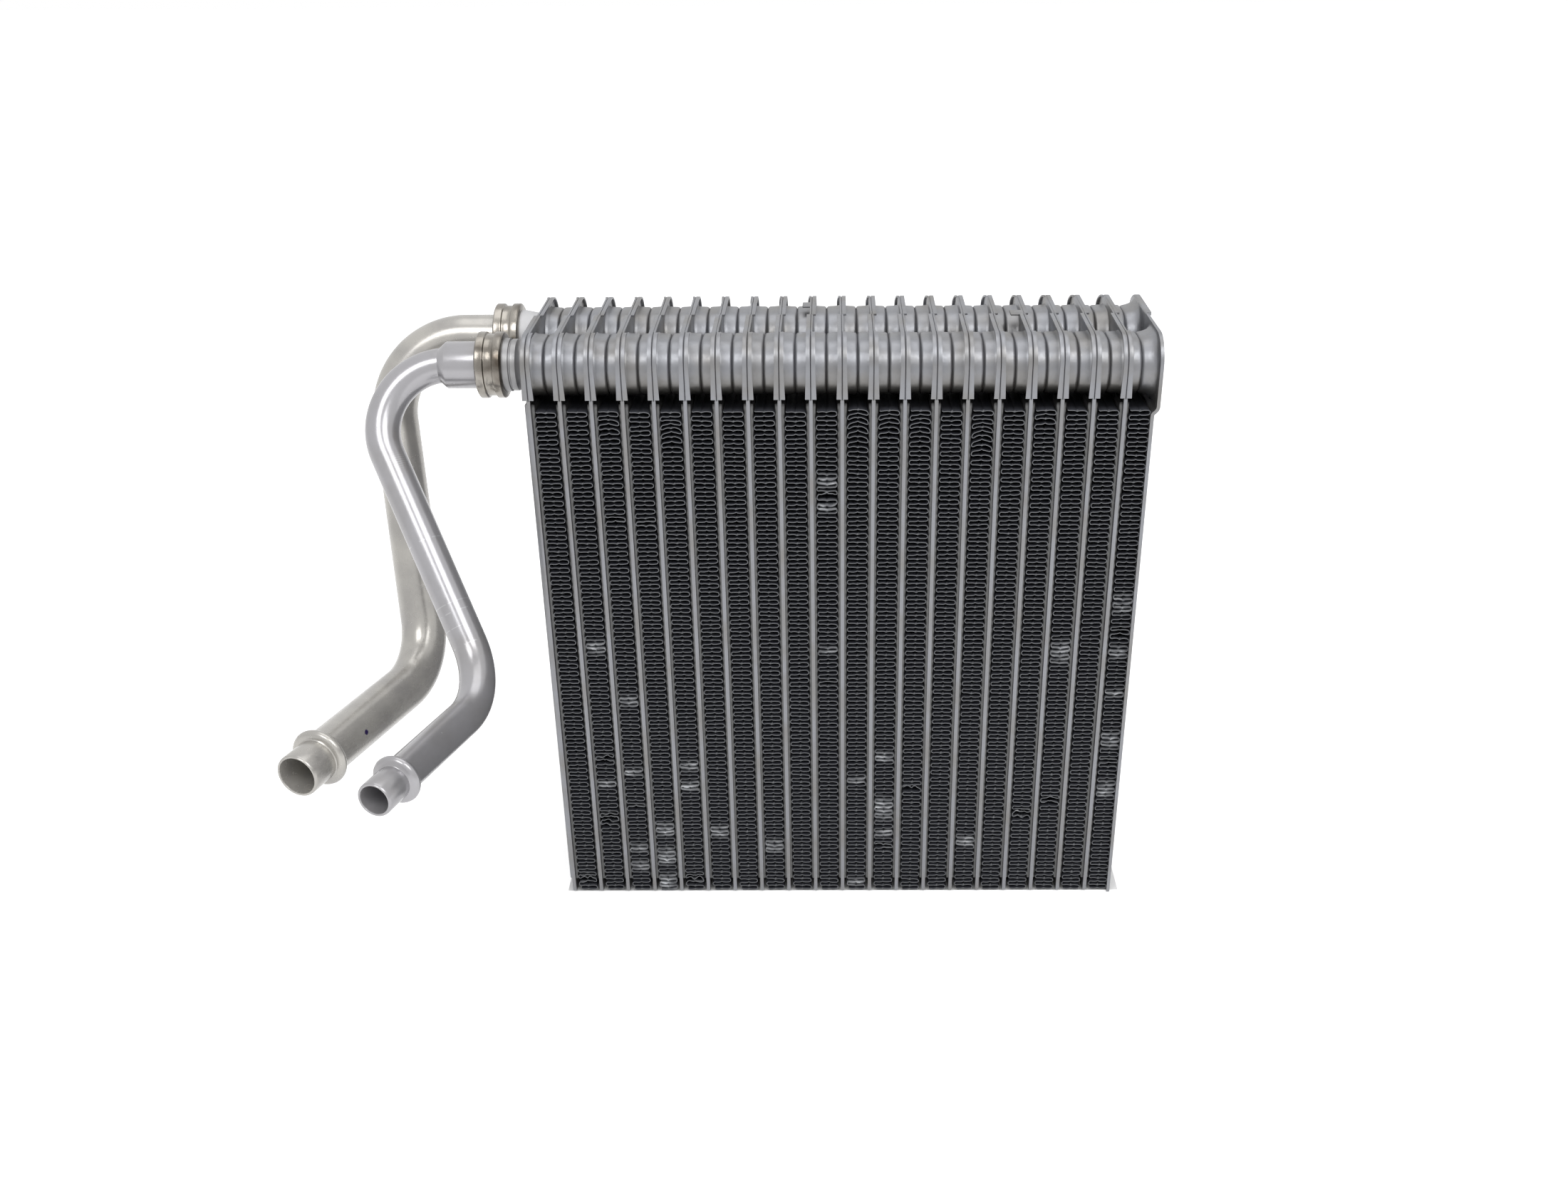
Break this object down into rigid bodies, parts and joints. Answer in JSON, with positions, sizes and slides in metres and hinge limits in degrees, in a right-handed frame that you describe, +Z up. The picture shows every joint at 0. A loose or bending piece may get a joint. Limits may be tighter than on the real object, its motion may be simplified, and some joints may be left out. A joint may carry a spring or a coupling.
{
  "type": "evaporator core",
  "caption": "Brazed plate-and-fin evaporator core with tanks along the top, an end plate, and two bent pipes that leave one end.",
  "frame": {"origin": "foot of the first plate pair, on its middle plane and half way through its depth", "axes": "+X along the stack from the pipe side to the end plate, -Y towards the face where the pipes leave, +Z up towards the tanks"},
  "size_m": [0.2938, 0.1829, 0.227],
  "materials": {
    "stamping": "satin",
    "fin": "satin",
    "end_plate": "satin",
    "neck": "satin",
    "collar": "satin",
    "liquid_pipe": "satin",
    "suction_pipe": "satin"
  },
  "bodies": {
    "root": {"plate_pair_01": "stamping", "plate_pair_02": "stamping", "plate_pair_03": "stamping", "plate_pair_04": "stamping", "plate_pair_05": "stamping", "plate_pair_06": "stamping", "plate_pair_07": "stamping", "plate_pair_08": "stamping", "plate_pair_09": "stamping", "plate_pair_10": "stamping", "plate_pair_11": "stamping", "plate_pair_12": "stamping", "plate_pair_13": "stamping", "plate_pair_14": "stamping", "plate_pair_15": "stamping", "plate_pair_16": "stamping", "plate_pair_17": "stamping", "plate_pair_18": "stamping", "plate_pair_19": "stamping", "plate_pair_20": "stamping", "fin_01": "fin", "fin_02": "fin", "fin_03": "fin", "fin_04": "fin", "fin_05": "fin", "fin_06": "fin", "fin_07": "fin", "fin_08": "fin", "fin_09": "fin", "fin_10": "fin", "fin_11": "fin", "fin_12": "fin", "fin_13": "fin", "fin_14": "fin", "fin_15": "fin", "fin_16": "fin", "fin_17": "fin", "fin_18": "fin", "fin_19": "fin", "fin_20": "fin", "end_plate": "end_plate", "liquid_neck": "neck", "suction_neck": "neck", "liquid_collar": "collar", "suction_collar": "collar", "liquid_pipe": "liquid_pipe", "suction_pipe": "suction_pipe"}
  },
  "joints": []
}
